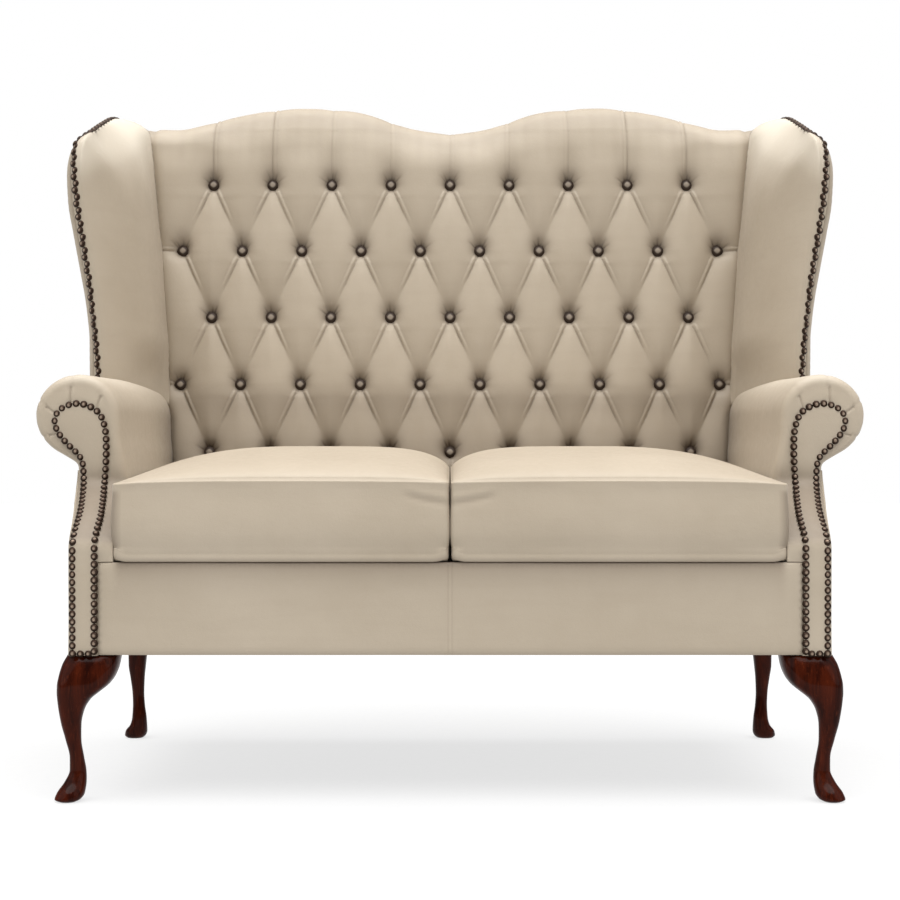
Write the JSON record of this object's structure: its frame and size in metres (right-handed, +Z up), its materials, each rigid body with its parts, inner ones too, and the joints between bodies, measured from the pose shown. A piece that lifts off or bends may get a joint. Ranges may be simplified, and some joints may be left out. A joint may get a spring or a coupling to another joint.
{
  "type": "two-seat wing-back sofa",
  "caption": "High-back leather loveseat with a deep-buttoned back, nailed wings and scroll arms, loose seat cushions and polished cabriole legs.",
  "frame": {"origin": "on the floor, under the middle of the bounding box", "axes": "+X to the right seen from the front, +Y towards the back, +Z up; the front faces -Y"},
  "size_m": [1.3224, 0.7736, 1.2022],
  "materials": {
    "leather": "satin ivory upholstery leather",
    "padded_leather": "satin ivory upholstery leather over foam",
    "lining": "black woven lining",
    "beech": "planed, unfinished",
    "mahogany": "polished dark mahogany",
    "bronze": "antique bronzed",
    "steel": "bright drawn",
    "foam": "upholstery foam",
    "webbing": "woven jute"
  },
  "bodies": {
    "frame": {"front_seat_rail": "beech", "rear_seat_rail": "beech", "side_seat_rail_left": "beech", "side_seat_rail_right": "beech", "centre_seat_brace": "beech", "corner_block_front_left": "beech", "corner_block_front_right": "beech", "arm_front_post_left": "beech", "arm_front_post_right": "beech", "arm_top_rail_left": "beech", "arm_top_rail_right": "beech", "back_post_left": "beech", "back_post_right": "beech", "back_top_rail": "beech", "back_lower_rail": "beech", "wing_frame_left": "beech", "wing_frame_right": "beech", "seat_spring_unit_left": "steel", "seat_spring_unit_right": "steel", "seat_deck": "webbing", "back_webbing": "webbing", "back_pad": "padded_leather", "button_row_1": "leather", "button_row_2": "leather", "button_row_3": "leather", "button_row_4": "leather", "button_row_5": "leather", "inside_arm_pad_left": "padded_leather", "inside_arm_pad_right": "padded_leather", "arm_roll_left": "padded_leather", "arm_roll_right": "padded_leather", "arm_facing_left": "leather", "arm_facing_right": "leather", "wing_pad_left": "padded_leather", "wing_pad_right": "padded_leather", "outside_wing_left": "leather", "outside_wing_right": "leather", "outside_arm_left": "leather", "outside_arm_right": "leather", "outside_back": "leather", "front_border": "leather", "dust_cover": "lining", "front_leg_left": "mahogany", "front_leg_right": "mahogany", "rear_leg_left": "mahogany", "rear_leg_right": "mahogany", "leg_bolt_front_left": "steel", "leg_bolt_front_right": "steel", "leg_bolt_rear_left": "steel", "leg_bolt_rear_right": "steel", "arm_nail_trim_left": "bronze", "arm_nail_trim_right": "bronze", "wing_nail_trim_left": "bronze", "wing_nail_trim_right": "bronze"},
    "cushion_left": {"cushion_cover_left": "leather", "cushion_core_left": "foam", "cushion_zip_left": "lining"},
    "cushion_right": {"cushion_cover_right": "leather", "cushion_core_right": "foam", "cushion_zip_right": "lining"}
  },
  "joints": [
    {"name": "cushion_lift_left", "type": "slide", "parent": "frame", "child": "cushion_left", "axis": [0, 0, 1], "range_m": [0, 0.32]},
    {"name": "cushion_lift_right", "type": "slide", "parent": "frame", "child": "cushion_right", "axis": [0, 0, 1], "range_m": [0, 0.32]}
  ]
}
